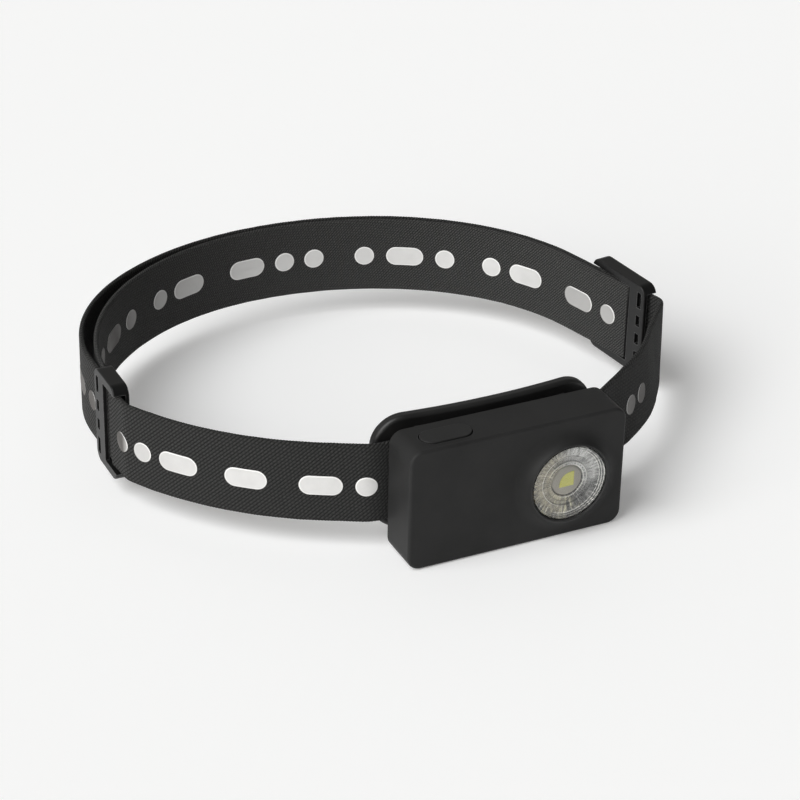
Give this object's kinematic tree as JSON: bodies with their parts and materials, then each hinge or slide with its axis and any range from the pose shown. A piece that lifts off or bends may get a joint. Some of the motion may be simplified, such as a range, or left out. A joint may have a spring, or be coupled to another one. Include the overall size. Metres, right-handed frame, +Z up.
{
  "type": "headlamp",
  "caption": "Slim rectangular headlamp with an offset round lens, a tilting strap bracket, a power button and an adjustable elastic head strap.",
  "frame": {"origin": "middle of the lamp's flat base", "axes": "+Z up from the base, -Y the way the lamp shines, +X across the lamp towards its lens end"},
  "size_m": [0.174, 0.1591, 0.0381],
  "materials": {
    "housing_plastic": "soft-touch charcoal moulding, fine matte grain",
    "cover_plastic": "matte charcoal moulding",
    "bracket_plastic": "matte charcoal nylon",
    "slider_plastic": "satin black acetal",
    "strap_elastic": "woven elastic webbing, diagonal rib",
    "button_silicone": "matte silicone",
    "seal_rubber": "black silicone",
    "clear_lens": "polished clear optic",
    "holder_plastic": "white moulding",
    "board_aluminium": "white-masked aluminium board",
    "led_ceramic": "ceramic package",
    "led_phosphor": "yellow phosphor",
    "circuit_board": "green solder mask",
    "chip_epoxy": "black epoxy",
    "battery_foil": "silver pouch foil",
    "foam_tape": "grey foam tape",
    "nickel": "nickel strip",
    "steel": "stainless steel",
    "thermal_silicone": "grey thermal pad"
  },
  "bodies": {
    "band": {"strap_bracket": "bracket_plastic", "tilt_pin": "steel", "front_strap": "strap_elastic", "rear_strap_outer": "strap_elastic", "rear_strap_inner": "strap_elastic"},
    "lamp": {"front_housing": "housing_plastic", "rear_cover": "cover_plastic", "cover_seal": "seal_rubber", "cover_screws": "steel", "lens_seal": "seal_rubber", "lens_optic": "clear_lens", "lens_holder": "holder_plastic", "led_board": "board_aluminium", "led_base": "led_ceramic", "led_phosphor": "led_phosphor", "led_dome": "clear_lens", "thermal_pad": "thermal_silicone", "main_board": "circuit_board", "driver_chips": "chip_epoxy", "battery": "battery_foil", "battery_tape": "foam_tape", "battery_tabs": "nickel", "mode_switch": "chip_epoxy", "usb_receptacle": "steel", "usb_tongue": "chip_epoxy", "usb_cover_anchor": "button_silicone"},
    "button": {"power_button": "button_silicone", "switch_plunger": "chip_epoxy"},
    "port_cover": {"usb_cover": "button_silicone"},
    "left_adjuster": {"left_slider": "slider_plastic"},
    "right_adjuster": {"right_slider": "slider_plastic"}
  },
  "joints": [
    {"name": "lamp_tilt", "type": "hinge", "parent": "band", "child": "lamp", "pos_m": [0, 0.00995, 0.0036], "axis": [1, 0, 0], "range_deg": [0, 60]},
    {"name": "power_press", "type": "slide", "parent": "lamp", "child": "button", "axis": [0, 0, -1], "range_m": [0, 0.0006], "stiffness_N_per_m": 2000, "springref_m": -0.0002},
    {"name": "port_cover_swing", "type": "hinge", "parent": "lamp", "child": "port_cover", "pos_m": [0.0335, 0.00075, 0.0046], "axis": [0, 1, 0], "range_deg": [0, 100]},
    {"name": "left_adjust", "type": "slide", "parent": "band", "child": "left_adjuster", "axis": [0, -1, 0], "range_m": [0, 0.0012]},
    {"name": "right_adjust", "type": "slide", "parent": "band", "child": "right_adjuster", "axis": [0.2588, -0.9659, 0], "range_m": [0, 0.0012]}
  ]
}
